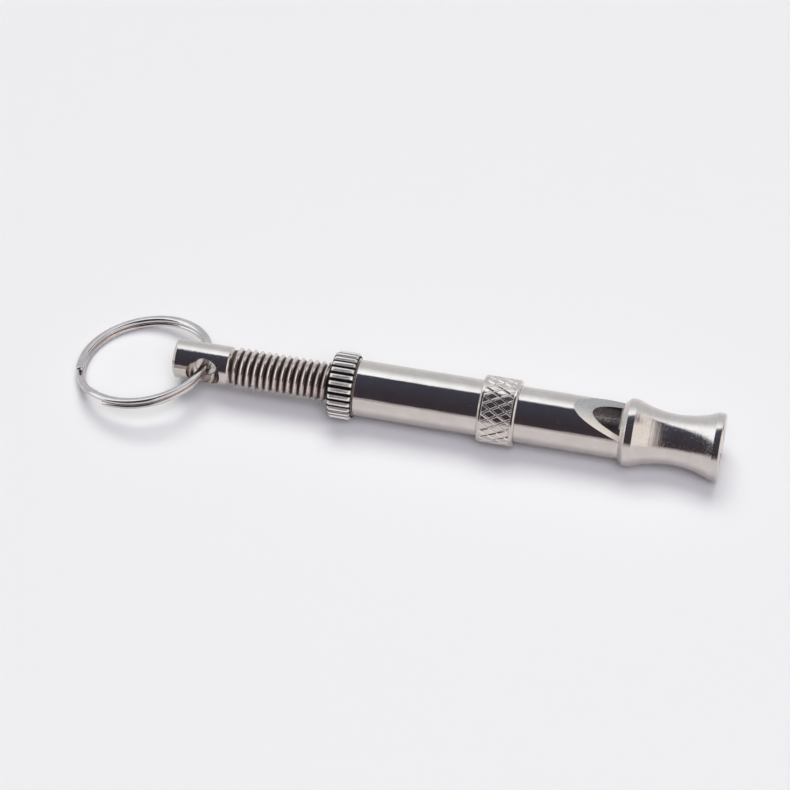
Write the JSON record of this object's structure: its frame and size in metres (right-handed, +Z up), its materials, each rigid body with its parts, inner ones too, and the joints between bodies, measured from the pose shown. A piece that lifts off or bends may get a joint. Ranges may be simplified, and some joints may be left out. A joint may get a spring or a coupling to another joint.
{
  "type": "training whistle",
  "caption": "Slim metal dog training whistle with a waisted mouthpiece, a screw-in pitch tuner, a knurled lock nut and a split ring.",
  "frame": {"origin": "centre of the footprint of the whistle lying on a table, at table height", "axes": "+X along the whistle's axis towards the mouthpiece, +Z up, with the voicing window on top"},
  "size_m": [0.0934, 0.02, 0.0096],
  "materials": {
    "polished_nickel": "mirror-polished nickel plate over brass",
    "plain_nickel": "unpolished nickel plate",
    "knurled_nickel": "nickel plate over knurling, bright on the crests and dark in the grooves",
    "threaded_nickel": "nickel plate over a cut thread, slightly darker and browner than the barrel",
    "piston_brass": "plain turned brass",
    "ring_steel": "bright nickel-plated spring steel wire"
  },
  "bodies": {
    "barrel": {"barrel": "polished_nickel", "grip_band": "knurled_nickel", "mouthpiece": "polished_nickel", "windway_plug": "plain_nickel"},
    "piston": {"tuning_piston": "piston_brass"},
    "screw": {"tuning_screw": "threaded_nickel"},
    "lock_nut": {"lock_nut": "knurled_nickel"},
    "ring": {"split_ring": "ring_steel"}
  },
  "joints": [
    {"name": "tuning_travel", "type": "slide", "parent": "barrel", "child": "piston", "axis": [1, 0, 0], "range_m": [-0.002, 0.014]},
    {"name": "tuning_turn", "type": "hinge", "parent": "piston", "child": "screw", "pos_m": [-0.02751, 0.00027, 0.0048], "axis": [1, 0, 0], "range_deg": [-720.5, 5040.5]},
    {"name": "lock_nut_turn", "type": "hinge", "parent": "barrel", "child": "lock_nut", "pos_m": [-0.00736, 0.00027, 0.0048], "axis": [-1, 0, 0], "range_deg": [0, 90]},
    {"name": "ring_swing", "type": "hinge", "parent": "screw", "child": "ring", "pos_m": [-0.02751, 0.00027, 0.0048], "axis": [0, 0.9877, -0.1564], "range_deg": [-149, 171]}
  ],
  "couplings": [
    {"joint": "tuning_turn", "follows": "tuning_travel", "rad_per_m": 6283.2}
  ]
}
